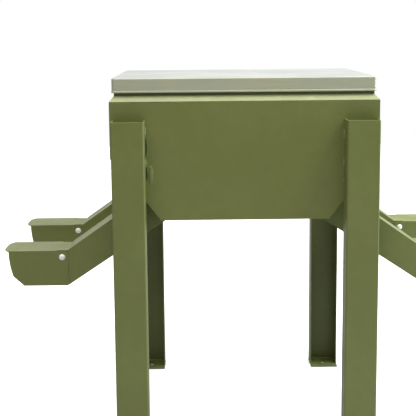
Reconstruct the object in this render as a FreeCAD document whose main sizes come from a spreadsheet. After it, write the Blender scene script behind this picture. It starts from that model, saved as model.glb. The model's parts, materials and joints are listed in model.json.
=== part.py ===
# Gravity poultry feeder: a folded sheet-steel hopper on four channel legs, with two covered chutes
# on each side that run down to troughs under hinged flaps, and a hinged pan lid.
#
# Millimetres. +Z is up, +X runs along the hopper to the right-hand troughs, and the front faces -Y.
# The origin is on the ground, under the middle of the feeder.
import FreeCAD, Part
import math
import os

import Sketcher

DIMENSIONS = {
    # hopper
    "half_len": 247.5,        # half the hopper's length, along X
    "half_dep": 170,          # half the hopper's depth, along Y
    "top_edge": 640,          # height of the hopper panels' top edge
    "body_drop": 219,         # from the top edge down to the underside of the floor
    "wall_drop": 103.5,       # height of the upright part of the side sheets
    "floor_half": 155,        # half the flat floor's length
    "sheet": 1.5,             # sheet of the hopper, chutes and troughs
    "ridge_half": 145,        # half the spread of the inner feed ridge
    # collar on the hopper
    "skirt_rise": 1.5,
    "shoulder_rise": 11.5,    # top of the sloping shoulder, above the top edge
    "shoulder_inset": 11.5,   # at the front and back
    "shoulder_end_inset": 8.5,
    "neck_rise": 42,          # top of the upright neck, above the top edge
    # pan lid
    "lid_over": 5,            # how far the lid stands out past the neck at the front and back
    "lid_end_over": 4,
    "lid_low": 17.5,          # bottom of the lid's rim, above the top edge
    "lid_high": 44,
    "lid_sheet": 1.2,
    "lid_corner": 6,
    "lid_crown": 2.5,
    # legs: channels with the web outward
    "front_leg_outer": 242.5,  # outer face of a front leg, along X
    "rear_leg_outer": 228,
    "leg_web": 60,
    "leg_flange": 35,
    "leg_sheet": 2,
    "leg_bend": 3,
    "leg_top_drop": 32.5,     # from the hopper's top edge down to the top of a leg
    "foot_thick": 3,
    "foot_depth": 50,
    "anchor_radius": 4.5,
    "anchor_setback": 25,     # from the leg's outer face to the anchor hole
    # chutes
    "chute_mid": 108,         # from the middle of the feeder to the middle of a chute, along Y
    "chute_half": 34.5,
    "cover_angle": 35,        # slope of the chute's top
    "floor_angle": 33.6,      # slope of its underside, and of the feed ridge
    "elbow_out": 335.5,       # where the line of the cover's top meets the flap's top
    "cover_gap": 0.3,         # between the flap and the end of the cover
    "tab_nose": 355,
    "tab_foot": 342,
    "tab_low": 331,
    "duct_start": 130,        # inner end of the chute blanks, before the hopper trims them
    # troughs
    "rim_height": 359,
    "trough_low": 291.5,
    "trough_back": 334.5,
    "trough_front": 446,
    "bow_radius": 160,        # the front wall's long curve
    "bow_drop": 49,
    "toe_reach": 28,          # from the front corner back to the start of the flat bottom
    "trough_bend": 2,
    # flaps over the troughs
    "flap_gap": 0.3,          # between the trough's rim and the flap
    "flap_back": 330.4,       # under the end of the chute's cover
    "flap_step": 353.5,       # where the flap widens, to lie on the trough's rim
    "flap_reach": 10.5,       # past the trough's front wall
    "flap_round": 35,         # radius of the flap's outer corners, in plan
    "flap_round_start": 1,    # where that corner starts, out from the front wall
    "flap_round_width": 24,   # and how far it runs across the flap
    "ear_gap": 0.8,           # between a chute wall and the flap's ear inside it
    "ear_half": 6,
    "ear_round": 6.5,
    "ear_drop": 2,            # from the pivot down to the start of the ear's round end
    # flap pivots
    "pivot_out": 345,
    "pivot_height": 346.5,
    "pivot_radius": 2.4,
    "running_gap": 0.05,
    "pivot_head": 6,
    "pivot_head_rise": 3,
    "pivot_tail": 4,
    "pivot_tail_gap": 0.3,
    "pivot_tail_rise": 1.5,
    # lid hinges
    "hinge_mid": 150,
    "hinge_half": 30,
    "hinge_out": 167.9,       # the hinge axis, behind the middle of the feeder
    "hinge_rise": 18.5,       # the hinge axis, above the hopper's top edge
    "hinge_sheet": 1.5,
    "knuckle": 3.6,
    "knuckle_half": 10,
    "knuckle_gap": 0.3,
    "pin_radius": 2,
    "pin_head": 3,
    "pin_head_rise": 1,
    "leaf_low": 32,           # lower end of the fixed leaf, below the top edge
    "leaf_high": 40,          # upper end of the moving leaf, above the top edge
    "leaf_step": 4.5,         # room around the other leaf's knuckles
    "rivet_spread": 18,
    "rivet_radius": 2,
    "rivet_head": 4,
    "rivet_head_rise": 1.8,
    "rivet_tail": 3,
    "rivet_tail_rise": 1,
    "fixed_rivet_drop": 20,
    "moving_rivet_rise": 31,
}

doc = FreeCAD.newDocument("poultry_feeder")
dims = doc.addObject("Spreadsheet::Sheet", "Dims")
for row, (word, number) in enumerate(DIMENSIONS.items(), start=1):
    dims.set(f"A{row}", word)
    dims.set(f"B{row}", str(number))
    dims.setAlias(f"B{row}", word)
doc.recompute()

# Heights and slopes that several pieces share, as expressions over the sheet.
FLOOR_LOW = "(Dims.top_edge - Dims.body_drop)"
WALL_BREAK = "(Dims.top_edge - Dims.wall_drop)"
FUNNEL = "((Dims.body_drop - Dims.wall_drop) / (Dims.half_len - Dims.floor_half))"
COVER = "tan(Dims.cover_angle)"
FLOOR = "tan(Dims.floor_angle)"
COVER_DROP = "(Dims.sheet / cos(Dims.cover_angle))"
FLOOR_RISE = "(Dims.sheet / cos(Dims.floor_angle))"
LIP_LOW = "(Dims.trough_low + Dims.sheet)"
TROUGH_RIM = "(Dims.rim_height - Dims.sheet - Dims.flap_gap)"
LEG_TOP = "(Dims.top_edge - Dims.leg_top_drop)"
HINGE_HEIGHT = "(Dims.top_edge + Dims.hinge_rise)"

# The plane of each sketch, the axis that its prism runs along, and the side that its normal is on.
PLANES = {"XY_Plane": 1, "XZ_Plane": -1, "YZ_Plane": 1}


def value(expression):
    return float(dims.evalExpression(expression))


def new_body(label):
    body = doc.addObject("PartDesign::Body", label)
    body.Label = label
    return body


def bound_constraint(sketch, kind, place, expression):
    """Add a constraint at place, a geometry or a vertex, whose size is an expression."""
    number = sketch.addConstraint(Sketcher.Constraint(kind, *place, value(expression)))
    sketch.setExpression(f"Constraints[{number}]", expression)


def new_sketch(body, name, plane, offset):
    sketch = body.newObject("Sketcher::SketchObject", name)
    support = [f for f in body.Origin.OriginFeatures if f.Role == plane][0]
    sketch.AttachmentSupport = [(support, "")]
    sketch.MapMode = "FlatFace"
    sketch.setExpression("AttachmentOffset.Base.z", offset)
    return sketch


def side_of(start, end, radius):
    """The arc from start to end, anticlockwise, with its centre on the left of the chord."""
    chord = end - start
    rise = math.sqrt(radius ** 2 - (chord.Length / 2) ** 2)
    left = FreeCAD.Vector(-chord.y, chord.x, 0).normalize()
    centre = (start + end) / 2 + left * rise
    turn_on = math.atan2(start.y - centre.y, start.x - centre.x)
    turn_off = math.atan2(end.y - centre.y, end.x - centre.x)
    circle = Part.Circle(centre, FreeCAD.Vector(0, 0, 1), radius)
    return Part.ArcOfCircle(circle, turn_on, turn_off)


def draw_outline(sketch, corners, arcs):
    """Close a ring of corners, anticlockwise; arcs gives the radius of the side after a corner."""
    spots = [FreeCAD.Vector(value(across), value(up), 0) for across, up in corners]
    following = spots[1:] + spots[:1]
    for number, (start, end) in enumerate(zip(spots, following)):
        if number in arcs:
            sketch.addGeometry(side_of(start, end, value(arcs[number])), False)
        else:
            sketch.addGeometry(Part.LineSegment(start, end), False)
    for number in range(len(corners)):
        joined = Sketcher.Constraint("Coincident", number, 2, (number + 1) % len(corners), 1)
        sketch.addConstraint(joined)
    for number, (across, up) in enumerate(corners):
        bound_constraint(sketch, "DistanceX", (-1, 1, number, 1), across)
        bound_constraint(sketch, "DistanceY", (-1, 1, number, 1), up)
    for number, radius in arcs.items():
        bound_constraint(sketch, "Radius", (number,), radius)


def extrude(body, name, sketch, span, cut):
    low, high = span
    feature = body.newObject("PartDesign::Pocket" if cut else "PartDesign::Pad", name)
    feature.Profile = sketch
    feature.setExpression("Length", f"({high}) - ({low})")
    return feature


def start_of(plane, span, cut):
    """A pad runs along the plane's normal and a pocket against it, so each starts at one end."""
    low, high = span
    if PLANES[plane] > 0:
        return high if cut else low
    return f"-({low})" if cut else f"-({high})"


def prism(body, name, plane, span, corners, arcs=None, cut=False):
    """Pad, or pocket, a ring of corners between two places on the plane's normal axis."""
    sketch = new_sketch(body, name + "_outline", plane, start_of(plane, span, cut))
    draw_outline(sketch, corners, arcs or {})
    return extrude(body, name, sketch, span, cut)


def cylinder(body, name, plane, span, centre, radius, cut=False):
    sketch = new_sketch(body, name + "_circle", plane, start_of(plane, span, cut))
    middle = FreeCAD.Vector(value(centre[0]), value(centre[1]), 0)
    sketch.addGeometry(Part.Circle(middle, FreeCAD.Vector(0, 0, 1), value(radius)), False)
    bound_constraint(sketch, "DistanceX", (-1, 1, 0, 3), centre[0])
    bound_constraint(sketch, "DistanceY", (-1, 1, 0, 3), centre[1])
    bound_constraint(sketch, "Radius", (0,), radius)
    return extrude(body, name, sketch, span, cut)


def box_corners(half_across, half_up):
    """The four corners of a rectangle about the sketch's origin."""
    return [
        (f"-({half_across})", f"-({half_up})"),
        (half_across, f"-({half_up})"),
        (half_across, half_up),
        (f"-({half_across})", half_up),
    ]


def span_corners(across, up):
    """The four corners of a rectangle from its two spans."""
    return [(across[0], up[0]), (across[1], up[0]), (across[1], up[1]), (across[0], up[1])]


def loft(body, name, rings, cut=False):
    """Join rectangles, each given as its height and its two half sizes."""
    sketches = []
    for number, (height, half_across, half_up) in enumerate(rings):
        sketch = new_sketch(body, f"{name}_ring_{number}", "XY_Plane", height)
        draw_outline(sketch, box_corners(half_across, half_up), {})
        sketches.append(sketch)
    kind = "PartDesign::SubtractiveLoft" if cut else "PartDesign::AdditiveLoft"
    feature = body.newObject(kind, name)
    feature.Profile = sketches[0]
    feature.Sections = sketches[1:]
    feature.Ruled = True
    return feature


def edges_at(feature, test):
    """Names of the straight edges for which test(middle, direction) holds."""
    names = []
    for number, edge in enumerate(feature.Shape.Edges, start=1):
        if isinstance(edge.Curve, Part.Line):
            ends = [vertex.Point for vertex in edge.Vertexes]
            if test((ends[0] + ends[1]) / 2, (ends[1] - ends[0]).normalize()):
                names.append(f"Edge{number}")
    return names


def fillet(body, name, base, test, radius):
    doc.recompute()
    feature = body.newObject("PartDesign::Fillet", name)
    feature.Base = (base, edges_at(base, test))
    feature.setExpression("Radius", radius)
    return feature


def hollow(body, name, base, open_sides, wall):
    """Leave a wall of one thickness behind every face but those that look along open_sides."""
    doc.recompute()
    names = []
    for number, face in enumerate(base.Shape.Faces, start=1):
        middle = face.Surface.parameter(face.CenterOfMass)
        outward = face.normalAt(*middle)
        box = base.Shape.BoundBox
        for side in open_sides:
            reach = max(side.dot(box.getPoint(corner)) for corner in range(8))
            if outward.dot(side) > 0.999 and side.dot(face.CenterOfMass) > reach - 0.01:
                names.append(f"Face{number}")
    feature = body.newObject("PartDesign::Thickness", name)
    feature.Base = (base, names)
    feature.setExpression("Value", wall)
    feature.Join = "Intersection"
    feature.Reversed = True
    return feature


def mirrored(label, source, normal):
    copy = doc.addObject("Part::Mirroring", label)
    copy.Label = label
    copy.Source = source
    copy.Normal = normal
    return copy


def without(label, base, tool):
    """The base with the tool's space taken out of it."""
    cut = doc.addObject("Part::Cut", label)
    cut.Label = label
    cut.Base = base
    cut.Tool = tool
    return cut


def group(label, members):
    compound = doc.addObject("Part::Compound", label)
    compound.Label = label
    compound.Links = members
    return compound


ACROSS = FreeCAD.Vector(1, 0, 0)
BACK = FreeCAD.Vector(0, 1, 0)
UP = FreeCAD.Vector(0, 0, 1)
pieces = []


def keep(*objects):
    pieces.extend(objects)


def keep_both_sides(name, right):
    """Keep a right-hand piece and its mirror image on the left."""
    right.Label = name + "_right"
    keep(right, mirrored(name + "_left", right, ACROSS))


def keep_all_corners(name, right):
    """Keep a front right-hand piece and its images at the other three corners."""
    keep_both_sides(name + "_front", right)
    rear = mirrored(name + "_rear_right", right, BACK)
    keep_both_sides(name + "_rear", rear)


# --- Hopper ---------------------------------------------------------------------------------------

def hopper_section():
    """The hopper's outer section: upright sides, then a funnel down to the flat floor."""
    return [
        ("-Dims.floor_half", FLOOR_LOW),
        ("Dims.floor_half", FLOOR_LOW),
        ("Dims.half_len", WALL_BREAK),
        ("Dims.half_len", "Dims.top_edge"),
        ("-Dims.half_len", "Dims.top_edge"),
        ("-Dims.half_len", WALL_BREAK),
    ]


def make_hopper_space():
    body = new_body("hopper_space")
    prism(body, "hopper_block", "XZ_Plane", ("-Dims.half_dep", "Dims.half_dep"), hopper_section())
    return body


def make_hopper_panel(label, span):
    body = new_body(label)
    prism(body, label + "_sheet", "XZ_Plane", span, hopper_section())
    return body


INNER_SPAN = ("-(Dims.half_dep - Dims.sheet)", "Dims.half_dep - Dims.sheet")


def make_side_sheet():
    """The right-hand side: an upright wall folded to the funnel slope, standing on the floor."""
    skew = f"(Dims.sheet * sqrt(1 + {FUNNEL}^2))"
    floor_top = f"({FLOOR_LOW} + Dims.sheet)"
    body = new_body("hopper_side_blank")
    prism(body, "hopper_side_fold", "XZ_Plane", INNER_SPAN, [
        (f"Dims.floor_half + (Dims.sheet - {skew}) / {FUNNEL}", floor_top),
        (f"Dims.floor_half + Dims.sheet / {FUNNEL}", floor_top),
        ("Dims.half_len", WALL_BREAK),
        ("Dims.half_len", "Dims.top_edge"),
        ("Dims.half_len - Dims.sheet", "Dims.top_edge"),
        ("Dims.half_len - Dims.sheet", f"{WALL_BREAK} + {skew} - Dims.sheet * {FUNNEL}"),
    ])
    return body


def make_floor_sheet():
    body = new_body("hopper_floor_blank")
    span = (FLOOR_LOW, f"{FLOOR_LOW} + Dims.sheet")
    prism(body, "hopper_floor_sheet", "XY_Plane", span,
          box_corners("Dims.floor_half", INNER_SPAN[1]))
    return body


def make_feed_ridge():
    """A folded ridge over the floor, which turns the feed towards the four chutes."""
    foot = f"({FLOOR_LOW} + Dims.sheet)"
    apex = f"({foot} + Dims.ridge_half * {FLOOR})"
    body = new_body("feed_ridge")
    prism(body, "feed_ridge_fold", "XZ_Plane", INNER_SPAN, [
        (f"-(Dims.ridge_half - {FLOOR_RISE} / {FLOOR})", foot),
        ("0", f"{apex} - {FLOOR_RISE}"),
        (f"Dims.ridge_half - {FLOOR_RISE} / {FLOOR}", foot),
        ("Dims.ridge_half", foot),
        ("0", apex),
        ("-Dims.ridge_half", foot),
    ])
    return body


def make_collar():
    """A sloping shoulder that stands on the panels' top edges, with an upright neck above it."""
    bend = "(Dims.sheet * tan((90 deg - atan((Dims.shoulder_rise - Dims.skirt_rise)"
    bend += " / Dims.shoulder_inset)) / 2))"
    low = "Dims.top_edge"
    skirt = "Dims.top_edge + Dims.skirt_rise"
    shoulder = "Dims.top_edge + Dims.shoulder_rise"
    neck = "Dims.top_edge + Dims.neck_rise"
    wide = ("Dims.half_len", "Dims.half_dep")
    slim = ("(Dims.half_len - Dims.shoulder_end_inset)", "(Dims.half_dep - Dims.shoulder_inset)")
    wide_inside = tuple(f"({size} - Dims.sheet)" for size in wide)
    slim_inside = tuple(f"({size} - Dims.sheet)" for size in slim)
    body = new_body("hopper_collar")
    loft(body, "collar_skirt", [(low, *wide), (skirt, *wide)])
    loft(body, "collar_shoulder", [(skirt, *wide), (shoulder, *slim)])
    loft(body, "collar_neck", [(shoulder, *slim), (neck, *slim)])
    inner_skirt = f"{skirt} - {bend}"
    inner_shoulder = f"{shoulder} - {bend}"
    loft(body, "collar_skirt_space", [(low, *wide_inside), (inner_skirt, *wide_inside)], cut=True)
    loft(body, "collar_shoulder_space",
         [(inner_skirt, *wide_inside), (inner_shoulder, *slim_inside)], cut=True)
    loft(body, "collar_neck_space", [(inner_shoulder, *slim_inside), (neck, *slim_inside)],
         cut=True)
    return body


# --- Chutes ---------------------------------------------------------------------------------------

def chute_span(inset="0"):
    half = f"(Dims.chute_half - {inset})"
    return (f"-Dims.chute_mid - {half}", f"-Dims.chute_mid + {half}")


def cover_line(across, drop="0"):
    """A height on the cover's top, or below it by drop."""
    return f"Dims.rim_height + (Dims.elbow_out - ({across})) * {COVER} - {drop}"


def floor_line(across, rise="0"):
    """A height on the chute floor's underside, or above it by rise."""
    return f"Dims.trough_low + (Dims.trough_back - ({across})) * {FLOOR} + {rise}"


LIP_BEND = f"(Dims.trough_back - Dims.sheet / {FLOOR})"
FLOOR_BEND = f"({LIP_BEND} + Dims.sheet * tan(Dims.floor_angle / 2))"
LIP_TOP = f"({LIP_LOW} + Dims.sheet)"
COVER_END = f"(Dims.elbow_out - ({COVER_DROP} + Dims.cover_gap) / {COVER})"


def make_duct_space():
    """The feed's way through a front right-hand chute, which also opens the hopper's sheets."""
    body = new_body("duct_space_front_right")
    prism(body, "duct_block", "XZ_Plane", chute_span("Dims.sheet"), [
        ("Dims.duct_start", floor_line("Dims.duct_start", FLOOR_RISE)),
        (FLOOR_BEND, LIP_TOP),
        ("Dims.elbow_out", LIP_TOP),
        ("Dims.elbow_out", cover_line("Dims.elbow_out", COVER_DROP)),
        ("Dims.duct_start", cover_line("Dims.duct_start", COVER_DROP)),
    ])
    return body


def make_chute_cover():
    """Top and walls of a chute, with a tab on each wall that carries the flap's pivot."""
    tab_top = f"({TROUGH_RIM} - Dims.cover_gap)"
    cut_back = "Dims.sheet * sin(Dims.cover_angle)"
    body = new_body("chute_cover_blank")
    prism(body, "cover_block", "XZ_Plane", chute_span(), [
        ("Dims.duct_start", floor_line("Dims.duct_start", FLOOR_RISE)),
        (FLOOR_BEND, LIP_TOP),
        ("Dims.tab_foot", LIP_TOP),
        ("Dims.tab_nose", "Dims.tab_low"),
        ("Dims.tab_nose", tab_top),
        (COVER_END, tab_top),
        (COVER_END, "Dims.rim_height + Dims.cover_gap"),
        (f"{COVER_END} + {cut_back}", cover_line(f"{COVER_END} + {cut_back}")),
        ("Dims.duct_start", cover_line("Dims.duct_start")),
    ])
    prism(body, "cover_space", "XZ_Plane", chute_span("Dims.sheet"), [
        ("0", "0"),
        ("Dims.trough_front", "0"),
        ("Dims.trough_front", "Dims.rim_height + Dims.cover_gap"),
        (COVER_END, "Dims.rim_height + Dims.cover_gap"),
        ("0", cover_line("0", COVER_DROP)),
    ], cut=True)
    cylinder(body, "pivot_holes", "XZ_Plane", chute_span(),
             ("Dims.pivot_out", "Dims.pivot_height"), "Dims.pivot_radius", cut=True)
    return body


def make_chute_floor():
    """The chute's bottom plate, under its walls, with a level lip over the trough's floor."""
    body = new_body("chute_floor_blank")
    prism(body, "floor_fold", "XZ_Plane", chute_span(), [
        ("Dims.duct_start", floor_line("Dims.duct_start")),
        (LIP_BEND, LIP_LOW),
        ("Dims.tab_foot", LIP_LOW),
        ("Dims.tab_foot", LIP_TOP),
        (FLOOR_BEND, LIP_TOP),
        ("Dims.duct_start", floor_line("Dims.duct_start", FLOOR_RISE)),
    ])
    return body


# --- Troughs and their flaps ----------------------------------------------------------------------

TROUGH_HALF = "(Dims.chute_half + Dims.sheet)"
TROUGH_SPAN = (f"-Dims.chute_mid - {TROUGH_HALF}", f"-Dims.chute_mid + {TROUGH_HALF}")
EAR_OUTSIDE = "(Dims.chute_half - Dims.sheet - Dims.ear_gap)"
EAR_INSIDE = f"({EAR_OUTSIDE} - Dims.sheet)"


def make_trough():
    """A tray with a bowed front and no back wall, welded around a front right-hand chute's end."""
    bow_back = "(Dims.bow_radius - sqrt(Dims.bow_radius^2 - Dims.bow_drop^2))"
    bow_foot = value("Dims.rim_height - Dims.bow_drop")
    body = new_body("trough_front_right")
    tray = prism(body, "tray_block", "XZ_Plane", TROUGH_SPAN, [
        ("Dims.trough_back", "Dims.trough_low"),
        ("Dims.trough_front - Dims.toe_reach", "Dims.trough_low"),
        (f"Dims.trough_front - {bow_back}", "Dims.rim_height - Dims.bow_drop"),
        ("Dims.trough_front", TROUGH_RIM),
        ("Dims.trough_back", TROUGH_RIM),
    ], arcs={2: "Dims.bow_radius"})

    def is_fold(middle, direction):
        crosswise = abs(direction.y) > 0.99
        in_front = middle.x > value("Dims.trough_back") + 1
        return crosswise and in_front and middle.z < bow_foot + 1

    folded = fillet(body, "tray_folds", tray, is_fold, "Dims.trough_bend")
    hollow(body, "tray_wall", folded, [UP, -ACROSS], "Dims.sheet")
    cylinder(body, "trough_pivot_holes", "XZ_Plane", TROUGH_SPAN,
             ("Dims.pivot_out", "Dims.pivot_height"), "Dims.pivot_radius", cut=True)
    return body


def make_flap():
    """A front right-hand trough's flat cover, with an ear inside each chute wall to turn on."""
    near, far = TROUGH_SPAN
    slim_near, slim_far = (f"-Dims.chute_mid {sign} {EAR_OUTSIDE}" for sign in "-+")
    turn = "Dims.trough_front + Dims.flap_round_start"
    tip = "Dims.trough_front + Dims.flap_reach"
    under = "Dims.rim_height - Dims.sheet"
    body = new_body("trough_flap_front_right")
    prism(body, "flap_plate", "XY_Plane", (under, "Dims.rim_height"), [
        ("Dims.flap_back", slim_near),
        ("Dims.flap_step", slim_near),
        ("Dims.flap_step", near),
        (turn, near),
        (tip, f"{near} + Dims.flap_round_width"),
        (tip, f"{far} - Dims.flap_round_width"),
        (turn, far),
        ("Dims.flap_step", far),
        ("Dims.flap_step", slim_far),
        ("Dims.flap_back", slim_far),
    ], arcs={3: "Dims.flap_round", 5: "Dims.flap_round"})
    ear_foot = "Dims.pivot_height - Dims.ear_drop"
    for number, sign in enumerate("-+", start=1):
        faces = [f"-Dims.chute_mid {sign} {face}" for face in (EAR_OUTSIDE, EAR_INSIDE)]
        span = tuple(faces if sign == "-" else reversed(faces))
        prism(body, f"flap_ear_{number}", "XZ_Plane", span, [
            ("Dims.pivot_out - Dims.ear_half", ear_foot),
            ("Dims.pivot_out + Dims.ear_half", ear_foot),
            ("Dims.pivot_out + Dims.ear_half", under),
            ("Dims.pivot_out - Dims.ear_half", under),
        ], arcs={0: "Dims.ear_round"})
    cylinder(body, "ear_holes", "XZ_Plane", TROUGH_SPAN,
             ("Dims.pivot_out", "Dims.pivot_height"), "Dims.pivot_radius + Dims.running_gap",
             cut=True)
    return body


def make_rivet(label, axis_plane, sizes, place):
    """A domed rivet turned about Y: its head is at low Y, and place moves the middle of its grip."""
    head_face, head, head_rise, shank, tail_face, tail, tail_rise = sizes
    body = new_body(label)
    sketch = new_sketch(body, label + "_section", axis_plane, "0")
    dome = f"(({head})^2 + ({head_rise})^2) / (2 * ({head_rise}))"
    draw_outline(sketch, [
        ("0", f"{head_face} - {head_rise}"),
        (head, head_face),
        (shank, head_face),
        (shank, tail_face),
        (tail, tail_face),
        (tail, f"{tail_face} + {tail_rise}"),
        ("0", f"{tail_face} + {tail_rise}"),
    ], {0: dome})
    turned = body.newObject("PartDesign::Revolution", label + "_turned")
    turned.Profile = sketch
    turned.ReferenceAxis = (sketch, ["V_Axis"])
    turned.Angle = 360
    for axis, expression in zip("xyz", place):
        body.setExpression(f"Placement.Base.{axis}", expression)
    return body


def make_pivot_pair():
    """The two rivets through a front right-hand trough and chute, which the flap swings on."""
    sizes = (
        f"-{TROUGH_HALF}", "Dims.pivot_head", "Dims.pivot_head_rise", "Dims.pivot_radius",
        f"-({EAR_INSIDE} - Dims.pivot_tail_gap)", "Dims.pivot_tail", "Dims.pivot_tail_rise",
    )
    place = ("Dims.pivot_out", "-Dims.chute_mid", "Dims.pivot_height")
    outer = make_rivet("pivot_outer", "XY_Plane", sizes, place)
    inner = mirrored("pivot_inner", outer, BACK)
    inner.setExpression("Base.y", "-Dims.chute_mid")
    return group("trough_pivots_blank", [outer, inner])


# --- Legs -----------------------------------------------------------------------------------------

def make_leg(label, outer, side):
    """A right-hand channel leg: its web faces outward and its flanges meet the hopper panel."""
    inner = f"({outer} - Dims.leg_web)"
    web_face = f"{side} * (Dims.half_dep + Dims.leg_flange)"
    web_inside = f"{side} * (Dims.half_dep + Dims.leg_flange - Dims.leg_sheet)"
    panel_face = f"{side} * Dims.half_dep"
    body = new_body(label)
    channel = prism(body, label + "_channel", "XY_Plane", ("Dims.foot_thick", LEG_TOP), [
        (inner, web_face),
        (outer, web_face),
        (outer, panel_face),
        (f"{outer} - Dims.leg_sheet", panel_face),
        (f"{outer} - Dims.leg_sheet", web_inside),
        (f"{inner} + Dims.leg_sheet", web_inside),
        (f"{inner} + Dims.leg_sheet", panel_face),
        (inner, panel_face),
    ])
    outer_bend = value("Dims.half_dep + Dims.leg_flange") - 0.1

    def is_outer_bend(middle, direction):
        return abs(direction.z) > 0.99 and abs(middle.y) > outer_bend

    fillet(body, label + "_bends", channel, is_outer_bend, "Dims.leg_bend")
    return body


def make_foot(label, outer, side):
    """The plate under a right-hand leg, with one anchor hole between the leg's flanges."""
    face = f"{side} * (Dims.half_dep + Dims.leg_flange)"
    back = f"{side} * (Dims.half_dep + Dims.leg_flange - Dims.foot_depth)"
    body = new_body(label)
    span = ("0", "Dims.foot_thick")
    prism(body, label + "_plate", "XY_Plane", span,
          span_corners((f"{outer} - Dims.leg_web", outer), (face, back)))
    centre = (f"{outer} - Dims.leg_web / 2",
              f"{side} * (Dims.half_dep + Dims.leg_flange - Dims.anchor_setback)")
    cylinder(body, label + "_anchor", "XY_Plane", span, centre, "Dims.anchor_radius", cut=True)
    return body


# --- Lid and hinges -------------------------------------------------------------------------------

LID_HALF_DEP = "(Dims.half_dep - Dims.shoulder_inset + Dims.lid_over)"


def make_lid():
    """A shallow pan, turned over, that hangs down around the neck."""
    half_len = "(Dims.half_len - Dims.shoulder_end_inset + Dims.lid_end_over)"
    body = new_body("lid_pan")
    block = prism(body, "lid_block", "XY_Plane",
                  ("Dims.top_edge + Dims.lid_low", "Dims.top_edge + Dims.lid_high"),
                  box_corners(half_len, LID_HALF_DEP))
    top = value("Dims.top_edge + Dims.lid_high")
    rounded = fillet(body, "lid_corners", block, lambda middle, direction: abs(direction.z) > 0.99,
                     "Dims.lid_corner")
    crowned = fillet(body, "lid_crown", rounded, lambda middle, direction: middle.z > top - 0.01,
                     "Dims.lid_crown")
    hollow(body, "lid_wall", crowned, [-UP], "Dims.lid_sheet")
    rim = (f"{LID_HALF_DEP} - 2 * Dims.lid_sheet", f"{LID_HALF_DEP}")
    for side in (-1, 1):
        for number, across in enumerate(hinge_rivets(side), start=1):
            cylinder(body, f"lid_rivet_hole_{side + 1}_{number}", "XZ_Plane", rim,
                     (across, "Dims.top_edge + Dims.moving_rivet_rise"), "Dims.rivet_radius",
                     cut=True)
    return body


def hinge_rivets(side):
    """Where the two rivets of a hinge leaf are, along X, on the side of one hinge."""
    return [f"{side} * Dims.hinge_mid - Dims.rivet_spread",
            f"{side} * Dims.hinge_mid + Dims.rivet_spread"]


def hinge_span(half):
    return (f"Dims.hinge_mid - ({half})", f"Dims.hinge_mid + ({half})")


HINGE_AXIS = ("Dims.hinge_out", HINGE_HEIGHT)
MOVING_HALF = "Dims.knuckle_half - Dims.knuckle_gap"


def make_fixed_leaf():
    """The leaf on the back panel, with a knuckle at each end, right-hand."""
    leaf = ("Dims.half_dep", "Dims.half_dep + Dims.hinge_sheet")
    body = new_body("hinge_fixed_right")
    prism(body, "fixed_plate", "XZ_Plane", leaf,
          span_corners(hinge_span("Dims.hinge_half"),
                       ("Dims.top_edge - Dims.leaf_low", HINGE_HEIGHT)))
    cylinder(body, "fixed_barrel", "YZ_Plane", hinge_span("Dims.hinge_half"), HINGE_AXIS,
             "Dims.knuckle")
    gap = [("Dims.hinge_out - 2 * Dims.knuckle", "Dims.hinge_out + 2 * Dims.knuckle"),
           (f"{HINGE_HEIGHT} - Dims.leaf_step", f"{HINGE_HEIGHT} + Dims.leaf_step")]
    prism(body, "fixed_gap", "YZ_Plane", hinge_span("Dims.knuckle_half"), span_corners(*gap),
          cut=True)
    cylinder(body, "fixed_bore", "YZ_Plane", hinge_span("Dims.hinge_half"), HINGE_AXIS,
             "Dims.pin_radius", cut=True)
    for number, across in enumerate(hinge_rivets(1), start=1):
        cylinder(body, f"fixed_rivet_hole_{number}", "XZ_Plane", leaf,
                 (across, "Dims.top_edge - Dims.fixed_rivet_drop"), "Dims.rivet_radius", cut=True)
    return body


def make_moving_leaf():
    """The leaf on the lid's rear rim, with one knuckle in the middle, right-hand."""
    leaf = (LID_HALF_DEP, f"{LID_HALF_DEP} + Dims.hinge_sheet")
    body = new_body("hinge_moving_right")
    prism(body, "moving_plate", "XZ_Plane", leaf,
          span_corners(hinge_span("Dims.hinge_half"),
                       (f"{HINGE_HEIGHT} + Dims.leaf_step", "Dims.top_edge + Dims.leaf_high")))
    prism(body, "moving_tongue", "XZ_Plane", leaf,
          span_corners(hinge_span(MOVING_HALF),
                       (HINGE_HEIGHT, f"{HINGE_HEIGHT} + Dims.leaf_step + 1")))
    cylinder(body, "moving_barrel", "YZ_Plane", hinge_span(MOVING_HALF), HINGE_AXIS,
             "Dims.knuckle")
    cylinder(body, "moving_bore", "YZ_Plane", hinge_span(MOVING_HALF), HINGE_AXIS,
             "Dims.pin_radius + Dims.running_gap", cut=True)
    for number, across in enumerate(hinge_rivets(1), start=1):
        cylinder(body, f"moving_rivet_hole_{number}", "XZ_Plane", leaf,
                 (across, "Dims.top_edge + Dims.moving_rivet_rise"), "Dims.rivet_radius", cut=True)
    return body


def make_hinge_pin():
    body = new_body("hinge_pin_right")
    end = "Dims.hinge_mid + Dims.hinge_half"
    cylinder(body, "pin_rod", "YZ_Plane", hinge_span("Dims.hinge_half"), HINGE_AXIS,
             "Dims.pin_radius")
    cylinder(body, "pin_cap", "YZ_Plane", (end, f"{end} + Dims.pin_head_rise"), HINGE_AXIS,
             "Dims.pin_head")
    return body


def make_leaf_rivets(label, outer_face, inner_face, height):
    """Two rivets through a right-hand leaf, with their heads to the rear."""
    sizes = ("0", "Dims.rivet_head", "Dims.rivet_head_rise", "Dims.rivet_radius",
             f"({outer_face}) - ({inner_face})", "Dims.rivet_tail", "Dims.rivet_tail_rise")
    rivets = []
    for number, across in enumerate(hinge_rivets(1), start=1):
        name = f"{label}_{number}"
        blank = make_rivet(name + "_blank", "XY_Plane", sizes,
                           (across, f"-({outer_face})", height))
        rivets.append(mirrored(name, blank, BACK))
    return group(label, rivets)


# --- Assembly -------------------------------------------------------------------------------------

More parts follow.
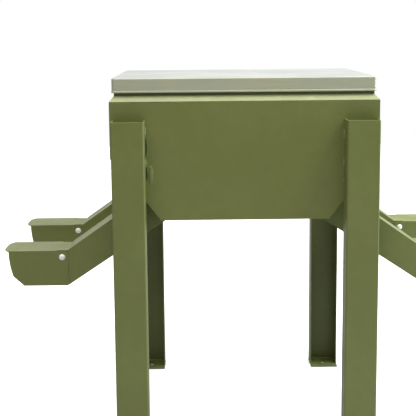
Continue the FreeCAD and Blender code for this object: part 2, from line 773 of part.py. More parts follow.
hopper_space = make_hopper_space()
duct_space = make_duct_space()
left_duct = mirrored("duct_space_front_left", duct_space, ACROSS)
duct_spaces = group("duct_spaces", [
    duct_space,
    left_duct,
    mirrored("duct_space_rear_right", duct_space, BACK),
    mirrored("duct_space_rear_left", left_duct, BACK),
])

keep(make_hopper_panel("hopper_front_panel",
                       ("-Dims.half_dep", "-(Dims.half_dep - Dims.sheet)")))
back_panel = make_hopper_panel("hopper_back_panel", ("Dims.half_dep - Dims.sheet", "Dims.half_dep"))
for side_number, side_sign in enumerate((-1, 1)):
    for rivet_number, rivet_across in enumerate(hinge_rivets(side_sign), start=1):
        cylinder(back_panel, f"panel_rivet_hole_{side_number}_{rivet_number}", "XZ_Plane",
                 ("Dims.half_dep - Dims.sheet", "Dims.half_dep"),
                 (rivet_across, "Dims.top_edge - Dims.fixed_rivet_drop"), "Dims.rivet_radius",
                 cut=True)
keep(back_panel)
keep_both_sides("hopper_side", without("hopper_side_right", make_side_sheet(), duct_spaces))
keep(without("hopper_floor", make_floor_sheet(), duct_spaces))
keep(make_feed_ridge(), make_collar())

keep_all_corners("chute_cover", without("chute_cover_front_right", make_chute_cover(),
                                        hopper_space))
keep_all_corners("chute_floor", without("chute_floor_front_right", make_chute_floor(),
                                        hopper_space))
keep_all_corners("trough", make_trough())
keep_all_corners("trough_flap", make_flap())
keep_all_corners("trough_pivots", make_pivot_pair())

for end, outer_face, side_sign in (("front", "Dims.front_leg_outer", -1),
                                   ("rear", "Dims.rear_leg_outer", 1)):
    keep_both_sides(f"leg_{end}", make_leg(f"leg_{end}_right", outer_face, side_sign))
    keep_both_sides(f"foot_{end}", make_foot(f"foot_{end}_right", outer_face, side_sign))

keep(make_lid())
keep_both_sides("hinge_fixed", make_fixed_leaf())
keep_both_sides("hinge_moving", make_moving_leaf())
keep_both_sides("hinge_pin", make_hinge_pin())
keep_both_sides("hinge_fixed_rivets", make_leaf_rivets(
    "hinge_fixed_rivets_right", "Dims.half_dep + Dims.hinge_sheet", "Dims.half_dep - Dims.sheet",
    "Dims.top_edge - Dims.fixed_rivet_drop"))
keep_both_sides("hinge_moving_rivets", make_leaf_rivets(
    "hinge_moving_rivets_right", f"{LID_HALF_DEP} + Dims.hinge_sheet",
    f"{LID_HALF_DEP} - Dims.lid_sheet", "Dims.top_edge + Dims.moving_rivet_rise"))

# --- Checks and files -----------------------------------------------------------------------------

doc.recompute()
for item in doc.Objects:
    if "Invalid" in item.State or "Error" in item.State:
        raise RuntimeError(f"{item.Label} failed to compute: {item.State}")
for piece in pieces:
    if piece.Shape.isNull() or not piece.Shape.isValid():
        raise RuntimeError(f"{piece.Label} has no valid shape")
os.makedirs("parts", exist_ok=True)
for piece in pieces:
    piece.Shape.exportStep(f"parts/{piece.Label}.step")
print(len(pieces), "sub-parts written")
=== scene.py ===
"""Looks of a gravity poultry feeder: olive sheet steel, flap-covered troughs and a bare lid."""
import bpy
import bmesh
import json
import math
import random
from mathutils import Matrix, Vector


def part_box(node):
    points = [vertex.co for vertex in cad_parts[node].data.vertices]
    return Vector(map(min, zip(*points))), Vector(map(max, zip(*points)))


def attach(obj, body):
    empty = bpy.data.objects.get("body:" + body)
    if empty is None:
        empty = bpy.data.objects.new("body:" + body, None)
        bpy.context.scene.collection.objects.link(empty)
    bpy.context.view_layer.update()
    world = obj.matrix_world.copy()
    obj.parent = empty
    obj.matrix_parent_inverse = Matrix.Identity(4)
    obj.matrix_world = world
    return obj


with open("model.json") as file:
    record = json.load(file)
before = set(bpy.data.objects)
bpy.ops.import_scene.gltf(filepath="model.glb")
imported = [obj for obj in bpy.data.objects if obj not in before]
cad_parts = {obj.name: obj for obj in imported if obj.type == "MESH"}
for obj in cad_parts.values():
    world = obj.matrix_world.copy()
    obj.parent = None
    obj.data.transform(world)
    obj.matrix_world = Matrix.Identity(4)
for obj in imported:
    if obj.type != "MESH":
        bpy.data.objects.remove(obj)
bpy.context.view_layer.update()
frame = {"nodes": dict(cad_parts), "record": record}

MM = 0.001
PANEL_LOW, PANEL_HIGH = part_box("hopper_front_panel")
FLOOR_LOW, FLOOR_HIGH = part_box("hopper_floor")
PANEL_FACE = -PANEL_LOW.y               # from the middle to the outside of either panel
SHEET = PANEL_HIGH.y - PANEL_LOW.y      # thickness of the hopper's sheets
RIM = PANEL_HIGH.z                      # the hopper's top edge
WALL_DROP = 103.5 * MM                  # height of the upright part of the hopper's ends
WELD = 1.3 * MM                         # radius of the ordinary weld beads
UPRIGHT = Vector((0, 0, 1))
LENGTHWISE = Vector((1, 0, 0))
CORNERS = [(end, side) for end in ("front", "rear") for side in ("right", "left")]
ALONG = {"right": 1, "left": -1}
OUTWARD = {"front": -1, "rear": 1}

PAINT = "olive_powder_coat"
LID = "bare_lid_sheet"
ZINC = "plated_hinge"
RIVET = "plain_rivet"


# --- Materials ------------------------------------------------------------------------------------

def srgb(red, green, blue):
    """A linear colour from 8-bit sRGB values."""
    def linear(value):
        part = value / 255
        return part / 12.92 if part <= 0.04045 else ((part + 0.055) / 1.055) ** 2.4
    return (linear(red), linear(green), linear(blue), 1)


class Nodes:
    """A short way to write a material's node tree."""

    def __init__(self, tree):
        self.tree = tree
        tree.nodes.clear()

    def add(self, kind, **inputs):
        node = self.tree.nodes.new(kind)
        for key, value in inputs.items():
            if hasattr(node, key):
                setattr(node, key, value)
            else:
                self.put(node.inputs[key.replace("_", " ")], value)
        return node

    def put(self, socket, value):
        if isinstance(value, bpy.types.NodeSocket):
            self.tree.links.new(value, socket)
        else:
            socket.default_value = value

    def math(self, operation, first, second=0.0, clamp=False):
        node = self.tree.nodes.new("ShaderNodeMath")
        node.operation = operation
        node.use_clamp = clamp
        self.put(node.inputs[0], first)
        self.put(node.inputs[1], second)
        return node.outputs[0]

    def mix(self, share, first, second):
        """A colour that goes from first to second as share goes from 0 to 1."""
        node = self.tree.nodes.new("ShaderNodeMix")
        node.data_type = "RGBA"
        self.put(node.inputs["Factor"], share)
        self.put(node.inputs["A"], first)
        self.put(node.inputs["B"], second)
        return node.outputs["Result"]

    def spread(self, value, low, high, to_low=0.0, to_high=1.0):
        """Carry low..high over to to_low..to_high, and hold it there."""
        node = self.tree.nodes.new("ShaderNodeMapRange")
        node.interpolation_type = "SMOOTHSTEP"
        self.put(node.inputs["Value"], value)
        for key, number in (("From Min", low), ("From Max", high),
                            ("To Min", to_low), ("To Max", to_high)):
            self.put(node.inputs[key], number)
        return node.outputs["Result"]

    def place(self, stretch=(1, 1, 1)):
        """The point on the piece, in metres of the shared frame, stretched."""
        point = self.tree.nodes.new("ShaderNodeTexCoord").outputs["Object"]
        node = self.tree.nodes.new("ShaderNodeMapping")
        self.put(node.inputs["Vector"], point)
        node.inputs["Scale"].default_value = stretch
        return node.outputs["Vector"]

    def noise(self, scale, detail=3.0, rough=0.5, stretch=(1, 1, 1)):
        node = self.tree.nodes.new("ShaderNodeTexNoise")
        self.put(node.inputs["Vector"], self.place(stretch))
        node.inputs["Scale"].default_value = scale
        node.inputs["Detail"].default_value = detail
        node.inputs["Roughness"].default_value = rough
        return node.outputs["Fac"]

    def facing(self):
        """The surface normal's three parts."""
        normal = self.tree.nodes.new("ShaderNodeNewGeometry").outputs["Normal"]
        node = self.tree.nodes.new("ShaderNodeSeparateXYZ")
        self.put(node.inputs[0], normal)
        return node.outputs

    def edge(self, radius):
        """1 on a sharp edge and 0 away from it."""
        bevel = self.tree.nodes.new("ShaderNodeBevel")
        bevel.samples = 6
        bevel.inputs["Radius"].default_value = radius
        flat = self.tree.nodes.new("ShaderNodeNewGeometry").outputs["True Normal"]
        dot = self.tree.nodes.new("ShaderNodeVectorMath")
        dot.operation = "DOT_PRODUCT"
        self.put(dot.inputs[0], bevel.outputs["Normal"])
        self.put(dot.inputs[1], flat)
        return self.spread(dot.outputs["Value"], 0.98, 0.80)

    def bump(self, height, strength, distance, under=None):
        node = self.tree.nodes.new("ShaderNodeBump")
        self.put(node.inputs["Height"], height)
        node.inputs["Strength"].default_value = strength
        node.inputs["Distance"].default_value = distance
        if under is not None:
            self.put(node.inputs["Normal"], under)
        return node.outputs["Normal"]


def new_material(name):
    material = bpy.data.materials.new(name)
    material.use_nodes = True
    nodes = Nodes(material.node_tree)
    shader = nodes.add("ShaderNodeBsdfPrincipled")
    output = nodes.add("ShaderNodeOutputMaterial")
    nodes.put(output.inputs["Surface"], shader.outputs["BSDF"])
    return material, nodes, shader


def dress(nodes, shader, colour, rough, normal, metallic=0.0):
    nodes.put(shader.inputs["Base Color"], colour)
    nodes.put(shader.inputs["Roughness"], rough)
    nodes.put(shader.inputs["Normal"], normal)
    shader.inputs["Metallic"].default_value = metallic


def olive_paint(name, extra_dust_and_top_light, tones, edge_highlight_tone=(150, 158, 118)):
    """Satin powder coat: fine orange peel, slow colour drift, painted edge highlights, and paler
    upward faces, partly from a dusty film and partly as painted light from above.

    tones are the two colours that it drifts between and the colour of its mottling, the second
    argument is how much paler than elsewhere what faces up gets, and the last is the colour of the
    painted highlight on its edges.
    """
    material, nodes, shader = new_material(name)
    cloud = nodes.spread(nodes.noise(5.0, 4.0, 0.55), 0.32, 0.68)
    mottle = nodes.spread(nodes.noise(55.0, 3.0, 0.6), 0.30, 0.70)
    colour = nodes.mix(cloud, srgb(*tones[0]), srgb(*tones[1]))
    colour = nodes.mix(nodes.math("MULTIPLY", mottle, 0.35), colour, srgb(*tones[2]))
    up = nodes.spread(nodes.facing()["Z"], 0.35, 0.95)
    dust_and_light_amount = nodes.spread(nodes.noise(26.0, 5.0, 0.65), 0.42, 0.72, 0.05, 0.42)
    dust_and_light_amount = nodes.math("ADD", dust_and_light_amount, extra_dust_and_top_light)
    # Upward faces grow paler, partly with a dusty film and partly as painted light from above.
    dust_and_top_light = nodes.math("MULTIPLY", up, dust_and_light_amount, clamp=True)
    colour = nodes.mix(dust_and_top_light, colour, srgb(146, 152, 106))
    # A further pale tone on upward faces, a painted highlight, strongest on the collar's shoulder.
    colour = nodes.mix(nodes.math("MULTIPLY", up, 0.45 * extra_dust_and_top_light), colour, srgb(180, 180, 146))
    # Painted highlight along the sharp edges, in patches, in a lighter tone than the paint.
    edge = nodes.edge(0.9 * MM)
    edge_highlight_patches = nodes.spread(nodes.noise(140.0, 4.0, 0.7), 0.35, 0.62, 0.15, 0.75)
    edge_highlight = nodes.math("MULTIPLY", edge, edge_highlight_patches)
    colour = nodes.mix(edge_highlight, colour, srgb(*edge_highlight_tone))
    streak = nodes.noise(9.0, 4.0, 0.6, (1, 1, 0.35))
    rough = nodes.spread(streak, 0.30, 0.70, 0.33, 0.45)
    rough = nodes.math("ADD", rough, nodes.math("MULTIPLY", dust_and_top_light, 0.3))
    peel = nodes.noise(620.0, 2.0, 0.45)
    wave = nodes.noise(7.0, 1.0, 0.4)
    normal = nodes.bump(peel, 0.16, 0.10 * MM)
    normal = nodes.bump(wave, 0.30, 1.2 * MM, normal)
    dress(nodes, shader, colour, rough, normal)
    nodes.put(shader.inputs["Specular IOR Level"], nodes.spread(up, 0.0, 1.0, 0.4, 0.16))
    return material


def brushed_lid():
    """Bare sheet, brushed along its length, with cloudy handling marks, a few fine scratches, and
    painted light: a paler, greener tone on its sides and a darker one on top.
    """
    material, nodes, shader = new_material("bare_lid_sheet_look")
    across = nodes.facing()["X"]
    on_end = nodes.spread(nodes.math("ABSOLUTE", across), 0.6, 0.8)
    long_grain = nodes.noise(1.0, 6.0, 0.7, (9, 1500, 1500))
    end_grain = nodes.noise(1.0, 6.0, 0.7, (1500, 9, 1500))
    grain_mix = nodes.add("ShaderNodeMix", data_type="FLOAT")
    nodes.put(grain_mix.inputs["Factor"], on_end)
    nodes.put(grain_mix.inputs["A"], long_grain)
    nodes.put(grain_mix.inputs["B"], end_grain)
    grain = grain_mix.outputs["Result"]
    cloud = nodes.spread(nodes.noise(7.0, 4.0, 0.6), 0.33, 0.67)
    smear = nodes.spread(nodes.noise(30.0, 5.0, 0.65, (0.4, 1, 1)), 0.35, 0.70)
    # Painted light by facing: the sides take a paler, greener tone, a painted reflection of the
    # olive paint around them, and the top a darker tone, painted shade that offsets the strong
    # light from above.
    rim = nodes.mix(cloud, srgb(173, 175, 150), srgb(182, 179, 139))
    top = nodes.mix(cloud, srgb(136, 139, 136), srgb(155, 157, 152))
    upward = nodes.spread(nodes.facing()["Z"], 0.3, 0.9)
    colour = nodes.mix(upward, rim, top)
    smear_and_facing_light = nodes.mix(upward, srgb(166, 169, 154), srgb(146, 149, 144))
    colour = nodes.mix(nodes.math("MULTIPLY", smear, 0.30), colour, smear_and_facing_light)
    fine = nodes.spread(grain, 0.30, 0.70, 0.0, 0.22)
    colour = nodes.mix(fine, colour, srgb(200, 202, 190))
    edge = nodes.edge(0.8 * MM)
    colour = nodes.mix(nodes.math("MULTIPLY", edge, 0.25), colour, srgb(196, 198, 188))
    rough = nodes.spread(grain, 0.25, 0.75, 0.36, 0.52)
    rough = nodes.math("ADD", rough, nodes.math("MULTIPLY", smear, 0.08))
    normal = nodes.bump(grain, 0.22, 0.05 * MM)
    normal = nodes.bump(nodes.noise(11.0, 2.0, 0.5), 0.25, 0.8 * MM, normal)
    dress(nodes, shader, colour, rough, normal, metallic=0.45)
    return material


def dull_zinc():
    """Zinc plate: faint crystal flakes, dull patches and brighter scuffed edges."""
    material, nodes, shader = new_material("plated_hinge_look")
    flakes = nodes.add("ShaderNodeTexVoronoi", feature="F1")
    nodes.put(flakes.inputs["Vector"], nodes.place())
    flakes.inputs["Scale"].default_value = 420.0
    tone = nodes.add("ShaderNodeSeparateColor")
    nodes.put(tone.inputs[0], flakes.outputs["Color"])
    colour = nodes.mix(tone.outputs[0], srgb(150, 151, 150), srgb(178, 179, 176))
    patch = nodes.spread(nodes.noise(90.0, 4.0, 0.6), 0.40, 0.70)
    colour = nodes.mix(nodes.math("MULTIPLY", patch, 0.5), colour, srgb(132, 132, 126))
    edge = nodes.edge(0.5 * MM)
    colour = nodes.mix(nodes.math("MULTIPLY", edge, 0.6), colour, srgb(206, 206, 202))
    rough = nodes.spread(patch, 0.0, 1.0, 0.34, 0.52)
    normal = nodes.bump(nodes.noise(900.0, 2.0, 0.5), 0.2, 0.05 * MM)
    dress(nodes, shader, colour, rough, normal, metallic=1.0)
    return material


def bright_rivet():
    """Plain rivet metal with small dents and a speckled tone."""
    material, nodes, shader = new_material("plain_rivet_look")
    speckle = nodes.spread(nodes.noise(380.0, 4.0, 0.65), 0.35, 0.70)
    colour = nodes.mix(speckle, srgb(242, 241, 228), srgb(224, 222, 206))
    rough = nodes.spread(speckle, 0.0, 1.0, 0.48, 0.62)
    normal = nodes.bump(nodes.noise(500.0, 2.0, 0.5), 0.35, 0.12 * MM)
    dress(nodes, shader, colour, rough, normal, metallic=0.3)
    return material


LOOKS = {
    PAINT: olive_paint("olive_powder_coat_look", 0.0,
                       ((102, 107, 55), (107, 112, 61), (96, 102, 51))),
    LID: brushed_lid(),
    ZINC: dull_zinc(),
    RIVET: bright_rivet(),
}
# The collar: darker tones as painted shade on the neck under the lid, a strong pale painted
# highlight with a dusty film on its upward shoulder, and a bright painted highlight along its
# edges.
COLLAR_LOOK = olive_paint("collar_shade_and_highlight_look", 0.8, ((88, 93, 47), (94, 99, 53), (84, 90, 45)),
                          edge_highlight_tone=(206, 204, 190))
# A near-black olive, painted shadow for the gaps beside the left front leg.
PAINTED_SEAM_SHADOW_LOOK = olive_paint("painted_seam_shadow_look", 0.0, ((44, 42, 22), (50, 48, 25), (36, 35, 18)))
# Welds in a paler paint than the panel around them.
WELD_LOOK = olive_paint("pale_weld_look", 0.1, ((126, 131, 86), (138, 143, 100), (116, 122, 76)))


# --- CAD nodes: their own meshes, welded, with small rounded edges --------------------------------

def smoothing_group():
    """A modifier's node group that joins the split corners and shades the faces smoothly."""
    group = bpy.data.node_groups.new("join_corners", "GeometryNodeTree")
    group.interface.new_socket("Geometry", in_out="INPUT", socket_type="NodeSocketGeometry")
    group.interface.new_socket("Geometry", in_out="OUTPUT", socket_type="NodeSocketGeometry")
    start = group.nodes.new("NodeGroupInput")
    join = group.nodes.new("GeometryNodeMergeByDistance")
    join.inputs["Distance"].default_value = 0.002 * MM
    smooth = group.nodes.new("GeometryNodeSetShadeSmooth")
    end = group.nodes.new("NodeGroupOutput")
    group.links.new(start.outputs[0], join.inputs["Geometry"])
    group.links.new(join.outputs[0], smooth.inputs["Geometry"])
    group.links.new(smooth.outputs[0], end.inputs[0])
    return group


JOIN_CORNERS = smoothing_group()


def round_edges(piece, width):
    join = piece.modifiers.new("join_corners", "NODES")
    join.node_group = JOIN_CORNERS
    bevel = piece.modifiers.new("edges", "BEVEL")
    bevel.width = width
    bevel.segments = 2
    bevel.limit_method = "ANGLE"
    bevel.angle_limit = math.radians(32)
    bevel.harden_normals = False
    weighted = piece.modifiers.new("normals", "WEIGHTED_NORMAL")
    weighted.keep_sharp = False
    weighted.weight = 90


def finish_of(node):
    for row in frame["record"]["subparts"]:
        if row["node"] == node:
            return row["material_slot"]
    return PAINT


EDGE_WIDTHS = {PAINT: 0.45 * MM, LID: 0.35 * MM, ZINC: 0.3 * MM, RIVET: 0.2 * MM}
OWN_EDGE_WIDTHS = {"hopper_collar": 1.5 * MM}
OWN_LOOKS = {"hopper_collar": COLLAR_LOOK}
for node_name, node in frame["nodes"].items():
    finish = finish_of(node_name)
    for slot in node.material_slots:
        slot.material = OWN_LOOKS.get(node_name, LOOKS[finish])
    round_edges(node, OWN_EDGE_WIDTHS.get(node_name, EDGE_WIDTHS[finish]))


# --- Small pieces ---------------------------------------------------------------------------------

def new_piece(name, mesh, body, finish, look=None):
    """An object made of mesh, which moves with body."""
    mesh.to_mesh(data := bpy.data.meshes.new(name))
    mesh.free()
    data.materials.append(look or LOOKS[finish])
    for face in data.polygons:
        face.use_smooth = True
    piece = bpy.data.objects.new(name, data)
    bpy.context.scene.collection.objects.link(piece)
    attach(piece, body)


def ring_of(mesh, centre, first, second, sizes, around=10):
    """A ring of vertices about centre, in the plane of the two directions."""
    turned = []
    for step in range(around):
        angle = 2 * math.pi * step / around
        turned.append(mesh.verts.new(centre + first * (sizes[0] * math.cos(angle))
                                     + second * (sizes[1] * math.sin(angle))))
    return turned


def skin(mesh, rings):
    """Faces between rings of vertices, closed at both ends."""
    for low, high in zip(rings, rings[1:]):
        for step in range(len(low)):
            after = (step + 1) % len(low)
            mesh.faces.new((low[step], low[after], high[after], high[step]))
    mesh.faces.new(list(reversed(rings[0])))
    mesh.faces.new(rings[-1])


def weld_bead(mesh, start, stop, radius, draws):
    """A rippled bead of weld along one stretch, thicker in the middle and closed at its ends."""
    start, stop = Vector(start), Vector(stop)
    line = stop - start
    along = line.normalized()
    first = along.orthogonal().normalized()
    second = along.cross(first)
    pitch = radius * 0.45
    count = max(5, round(line.length / pitch))
    rings = []
    for step in range(count + 1):
        share = step / count
        taper = min(1.0, 0.35 + 4 * min(share, 1 - share) * line.length / (6 * radius))
        ripple = 1 + 0.13 * math.cos(step * 2 * math.pi / 3.2) + draws.uniform(-0.05, 0.05)
        size = radius * taper * ripple
        wander = first * draws.uniform(-0.06, 0.06) * radius
        rings.append(ring_of(mesh, start + line * share + wander, first, second, (size, size)))
    skin(mesh, rings)


def stitches(mesh, start, stop, radius, count, share, draws):
    """Short beads of weld spread along one seam, each covering its share of the spacing."""
    start, stop = Vector(start), Vector(stop)
    for number in range(count):
        middle = (number + 0.5 + draws.uniform(-0.12, 0.12)) / count
        half = 0.5 * share / count * draws.uniform(0.8, 1.15)
        weld_bead(mesh, start.lerp(stop, middle - half), start.lerp(stop, middle + half),
                  radius * draws.uniform(0.85, 1.1), draws)


# Each bead's bottom and top, in millimetres below the hopper's top edge.
LEG_BEADS = {
    ("front", "right"): ((149, 144), (120, 104), (69, 52)),
    ("front", "left"): ((117, 104), (60, 45)),
    ("rear", "right"): ((161, 145), (109, 93), (61, 46)),
    ("rear", "left"): ((161, 145), (109, 93), (61, 46)),
}
OPEN_SEAMS = ((102, 63), (145, 118))
BULGE_DROP = 134


def leg_welds():
    """Stitch welds where each leg's flanges meet the hopper panel, and around its foot plate."""
    lowest_outside = 110        # no bead is lower than this on the flange at the hopper's end
    rise_outside = 6
    for end, side in CORNERS:
        low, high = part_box(f"leg_{end}_{side}")
        inner, outer = (low.x, high.x) if side == "right" else (high.x, low.x)
        panel = OUTWARD[end] * PANEL_FACE
        draws = random.Random(f"leg {end} {side}")
        mesh = bmesh.new()
        for across, rise in ((inner, 0), (outer, rise_outside)):
            for bottom, top in LEG_BEADS[end, side]:
                if across == outer and bottom > lowest_outside:
                    continue
                weld_bead(mesh, (across, panel, RIM - (bottom - rise) * MM),
                          (across, panel, RIM - (top - rise) * MM), WELD, draws)
        face = OUTWARD[end]
        front = low.y if face < 0 else high.y
        web = front - face * 2.2 * MM       # just inside the leg's channel
        inset = ALONG[side] * 8 * MM
        top_of_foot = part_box(f"foot_{end}_{side}")[1].z
        weld_bead(mesh, (inner + inset, web, top_of_foot), (outer - inset, web, top_of_foot),
                  1.4 * MM, draws)
        for across in (inner, outer):
            stitches(mesh, (across, front - face * 5 * MM, top_of_foot),
                     (across, panel, top_of_foot), WELD, 2, 0.45, draws)
        new_piece(f"leg_welds_{end}_{side}", mesh, "stand", PAINT, WELD_LOOK)


def open_seam():
    """Dark strips, painted shadow in the gaps between the welds, where the left front leg's flange
    stands off the panel.
    """
    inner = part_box("leg_front_left")[1].x
    draws = random.Random("open seam")
    mesh = bmesh.new()
    for bottom, top in OPEN_SEAMS:
        rings = []
        for step in range(13):
            share = step / 12
            width = 1.7 * (1 - abs(2 * share - 1) ** 7) + 0.12
            width *= draws.uniform(0.88, 1.1)
            drop = bottom + (top - bottom) * share
            centre = Vector((inner + width * MM, -PANEL_FACE, RIM - drop * MM))
            rings.append(ring_of(mesh, centre, LENGTHWISE, Vector((0, 1, 0)),
                                 (width * MM, 0.35 * MM)))
        skin(mesh, rings)
    new_piece("open_seam", mesh, "stand", PAINT, PAINTED_SEAM_SHADOW_LOOK)


def weld_bulge():
    """A low swelling of the front panel, where the heat of a weld has drawn the sheet."""
    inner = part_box("leg_front_left")[1].x
    middle = Vector((inner + 8.5 * MM, -PANEL_FACE, RIM - BULGE_DROP * MM))
    half_width, half_height, rise, around = 5.5 * MM, 17 * MM, 1.3 * MM, 28
    mesh = bmesh.new()
    rings = []
    for share in (0.04, 0.15, 0.3, 0.45, 0.6, 0.72, 0.83, 0.92, 1.0):
        outward = Vector((0, -rise * (1 - share * share) ** 2, 0))
        rings.append(ring_of(mesh, middle + outward, LENGTHWISE, UPRIGHT,
                             (half_width * share, half_height * share), around))
    inward = Vector((0, 0.6 * MM, 0))
    rings.append(ring_of(mesh, middle + inward, LENGTHWISE, UPRIGHT,
                         (half_width - 0.1 * MM, half_height - 0.1 * MM), around))
    skin(mesh, rings)
    bmesh.ops.recalc_face_normals(mesh, faces=mesh.faces)
    new_piece("weld_bulge", mesh, "stand", PAINT)


def chute_welds():
    """Seams around each chute, where it enters the hopper, and where it enters its trough."""
    lean = (PANEL_HIGH.x - FLOOR_HIGH.x) / (RIM - WALL_DROP - FLOOR_LOW.z)
    for end, side in CORNERS:
        draws = random.Random(f"chute {end} {side}")
        low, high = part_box(f"chute_cover_{end}_{side}")
        foot = ALONG[side] * FLOOR_HIGH.x
        top = ALONG[side] * (FLOOR_HIGH.x + (high.z - FLOOR_LOW.z) * lean)
        mesh = bmesh.new()
        weld_bead(mesh, (top, low.y + 1 * MM, high.z), (top, high.y - 1 * MM, high.z),
                  1.6 * MM, draws)
        for face in (low.y, high.y):
            weld_bead(mesh, (top, face, high.z), (foot, face, FLOOR_LOW.z), 1.5 * MM, draws)
        trough_low, trough_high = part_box(f"trough_{end}_{side}")
        seam = ALONG[side] * min(abs(trough_low.x), abs(trough_high.x))
        for face in (low.y, high.y):
            stitches(mesh, (seam, face, trough_low.z + 4 * MM),
                     (seam, face, trough_high.z - 14 * MM), 1.0 * MM, 3, 0.16, draws)
            weld_bead(mesh, (seam - ALONG[side] * 0.5 * MM, face, trough_low.z + 5 * MM),
                      (seam + ALONG[side] * 2.2 * MM, face, trough_low.z + 5.4 * MM),
                      2.0 * MM, draws)
        new_piece(f"chute_welds_{end}_{side}", mesh, "stand", PAINT, WELD_LOOK)


def corner_welds():
    """Dressed seams along the slanting corners of the hopper, with a spot at the foot."""
    for end, side in CORNERS:
        draws = random.Random(f"corner {end} {side}")
        seam = OUTWARD[end] * (PANEL_FACE - SHEET)
        foot = Vector((ALONG[side] * FLOOR_HIGH.x, seam, PANEL_LOW.z))
        bend = Vector((ALONG[side] * PANEL_HIGH.x, seam, RIM - WALL_DROP))
        mesh = bmesh.new()
        stitches(mesh, foot.lerp(bend, 0.03), foot.lerp(bend, 0.97), 0.9 * MM, 5, 0.22, draws)
        weld_bead(mesh, foot.lerp(bend, -0.008), foot.lerp(bend, 0.03), WELD, draws)
        new_piece(f"corner_welds_{end}_{side}", mesh, "stand", PAINT)


def lid_hem():
    """The lid's rim, folded back on itself along its lower edge."""
    low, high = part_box("lid_pan")
    corner = 6 * MM
    path = []
    for turn, (sign_x, sign_y) in enumerate(((1, 1), (-1, 1), (-1, -1), (1, -1))):
        centre = Vector((sign_x * (high.x - corner), sign_y * (high.y - corner)))
        for step in range(7):
            angle = math.radians(90 * turn + 15 * step)
            outward = Vector((math.cos(angle), math.sin(angle)))
            path.append((centre + outward * corner, outward))
    # The fold's outline, in millimetres outwards from the rim and up from its lower edge.
    section = ((-0.9, 0.1), (-0.2, -0.35), (0.35, -0.3), (0.62, 0.25), (0.66, 1.5), (0.6, 2.6),
               (0.3, 3.2), (-0.3, 3.3))
    mesh = bmesh.new()
    rings = []
    for spot, outward in path:
        ring = []
        for out, up in section:
            place = spot + outward * (out * MM)
            ring.append(mesh.verts.new((place.x, place.y, low.z + up * MM)))
        rings.append(ring)
    for first, second in zip(rings, rings[1:] + rings[:1]):
        for step in range(len(section)):
            after = (step + 1) % len(section)
            mesh.faces.new((first[step], second[step], second[after], first[after]))
    new_piece("lid_hem", mesh, "lid", LID)


leg_welds()
open_seam()
weld_bulge()
chute_welds()
corner_welds()
lid_hem()


# --- Stage, light and camera ----------------------------------------------------------------------

def make_floor():
    """A pale floor, which takes shadows and is brighter to the camera than in reflections."""
    mesh = bmesh.new()
    half = 4.0
    corners = [mesh.verts.new((x, y, 0)) for x, y in
               ((-half, -half), (half, -half), (half, half), (-half, half))]
    mesh.faces.new(corners)
    mesh.to_mesh(data := bpy.data.meshes.new("floor"))
    mesh.free()
    floor = bpy.data.objects.new("floor", data)
    bpy.context.scene.collection.objects.link(floor)
    material = bpy.data.materials.new("pale_floor")
    material.use_nodes = True
    nodes = Nodes(material.node_tree)
    matt = nodes.add("ShaderNodeBsdfDiffuse")
    grain = nodes.spread(nodes.noise(3.0, 3.0, 0.5), 0.3, 0.7)
    pale = nodes.mix(grain, (0.80, 0.80, 0.80, 1), (0.83, 0.83, 0.83, 1))
    path = nodes.add("ShaderNodeLightPath")
    seen = path.outputs["Is Camera Ray"]
    bounced = nodes.mix(path.outputs["Is Glossy Ray"],
                        (0.45, 0.45, 0.44, 1), (0.32, 0.32, 0.32, 1))
    nodes.put(matt.inputs["Color"], nodes.mix(seen, bounced, pale))
    glow = nodes.add("ShaderNodeEmission", Color=(1, 1, 1, 1))
    nodes.put(glow.inputs["Strength"], nodes.math("MULTIPLY", seen, 0.45))
    both = nodes.add("ShaderNodeAddShader")
    nodes.put(both.inputs[0], matt.outputs[0])
    nodes.put(both.inputs[1], glow.outputs[0])
    nodes.put(nodes.add("ShaderNodeOutputMaterial").inputs["Surface"], both.outputs[0])
    data.materials.append(material)


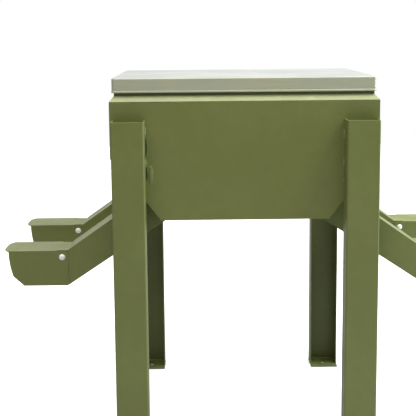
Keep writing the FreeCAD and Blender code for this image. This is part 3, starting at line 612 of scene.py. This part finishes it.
def make_world():
    """A white backdrop, in a dim room with a bright ceiling."""
    world = bpy.data.worlds.new("studio")
    bpy.context.scene.world = world
    world.use_nodes = True
    nodes = Nodes(world.node_tree)
    way = nodes.add("ShaderNodeTexCoord").outputs["Generated"]
    parts = nodes.add("ShaderNodeSeparateXYZ")
    nodes.put(parts.inputs[0], way)
    ceiling = nodes.spread(parts.outputs["Z"], 0.3, 0.95, 0.04, 1.98)
    behind = nodes.spread(parts.outputs["Y"], 0.1, 0.8, 0.0, 0.70)
    mirrored = nodes.spread(parts.outputs["Y"], 0.5, 0.85, 0.0, 0.3)
    path = nodes.add("ShaderNodeLightPath")
    mirrored = nodes.math("MULTIPLY", mirrored, path.outputs["Is Glossy Ray"])
    level = nodes.math("ADD", nodes.math("ADD", ceiling, behind), mirrored)
    glow = nodes.add("ShaderNodeBackground", Color=(1, 1, 1, 1))
    strength = nodes.add("ShaderNodeMix", data_type="FLOAT")
    nodes.put(strength.inputs["Factor"], path.outputs["Is Camera Ray"])
    nodes.put(strength.inputs["A"], level)
    nodes.put(strength.inputs["B"], 1.0)
    nodes.put(glow.inputs["Strength"], strength.outputs["Result"])
    nodes.put(nodes.add("ShaderNodeOutputWorld").inputs["Surface"], glow.outputs[0])


def area_light(name, spot, target, size, power, colour):
    light = bpy.data.lights.new(name, "AREA")
    light.shape = "RECTANGLE"
    light.size, light.size_y = size
    light.energy = power
    light.color = colour
    lamp = bpy.data.objects.new(name, light)
    lamp.location = spot
    lamp.rotation_euler = (Vector(target) - Vector(spot)).to_track_quat("-Z", "Y").to_euler()
    bpy.context.scene.collection.objects.link(lamp)


def make_camera():
    yaw, pitch, roll = 0.00993, 0.12873, -0.00885
    ahead = Vector((math.sin(yaw) * math.cos(pitch), math.cos(yaw) * math.cos(pitch),
                    -math.sin(pitch)))
    right = Vector((math.cos(yaw), -math.sin(yaw), 0))
    up = right.cross(ahead)
    turned = right * math.cos(roll) + up * math.sin(roll)
    raised = up * math.cos(roll) - right * math.sin(roll)
    data = bpy.data.cameras.new("camera")
    data.sensor_width = 36
    data.lens = 73.251
    data.shift_y = -0.16
    data.clip_start, data.clip_end = 0.05, 50
    camera = bpy.data.objects.new("camera", data)
    axes = Matrix((turned, raised, -ahead)).transposed()
    camera.matrix_world = Matrix.Translation((-0.08273, -1.70588, 0.76654)) @ axes.to_4x4()
    bpy.context.scene.collection.objects.link(camera)
    bpy.context.scene.camera = camera


make_floor()
make_world()
area_light("high_right", (1.3, -0.4, 2.2), (0, 0, 0.48), (0.8, 0.8), 53, (1.0, 1.0, 0.97))
area_light("high_front", (-0.5, -1.4, 2.3), (0, 0, 0.48), (1.4, 0.8), 16, (1.0, 1.0, 0.98))
area_light("right_window", (1.9, -0.25, 0.68), (0, 0, 0.43), (0.9, 1.0), 30, (0.55, 0.86, 1.0))
make_camera()
bpy.context.scene.view_settings.view_transform = "Standard"
